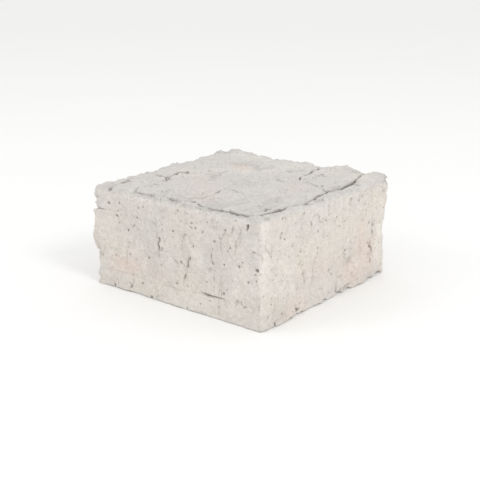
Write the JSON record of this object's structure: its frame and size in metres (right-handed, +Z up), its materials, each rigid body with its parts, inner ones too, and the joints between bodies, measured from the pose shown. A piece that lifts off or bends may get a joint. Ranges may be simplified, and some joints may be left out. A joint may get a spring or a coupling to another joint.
{
  "type": "gymnastics chalk block",
  "caption": "Small rectangular cake of pressed magnesium carbonate hand chalk, parted by its own cracks into a core, flat top plates and loose edge lumps; stands on a flat base.",
  "frame": {"origin": "under the middle of the block, on the face it rests on", "axes": "+X along the front face to the right, +Y from the front face to the back, +Z up through the block's thickness"},
  "size_m": [0.053, 0.0536, 0.0271],
  "materials": {
    "body_chalk": "matte",
    "crust_chalk": "matte",
    "edge_chalk": "matte"
  },
  "bodies": {
    "root": {"core": "body_chalk", "front_foot_flake": "body_chalk", "front_plate": "crust_chalk", "front_right_plate": "crust_chalk", "middle_plate": "crust_chalk", "right_plate": "crust_chalk", "left_plate": "crust_chalk", "rear_left_plate": "crust_chalk", "rear_right_plate": "crust_chalk", "left_corner_lump": "edge_chalk", "right_corner_lump": "edge_chalk"}
  },
  "joints": []
}
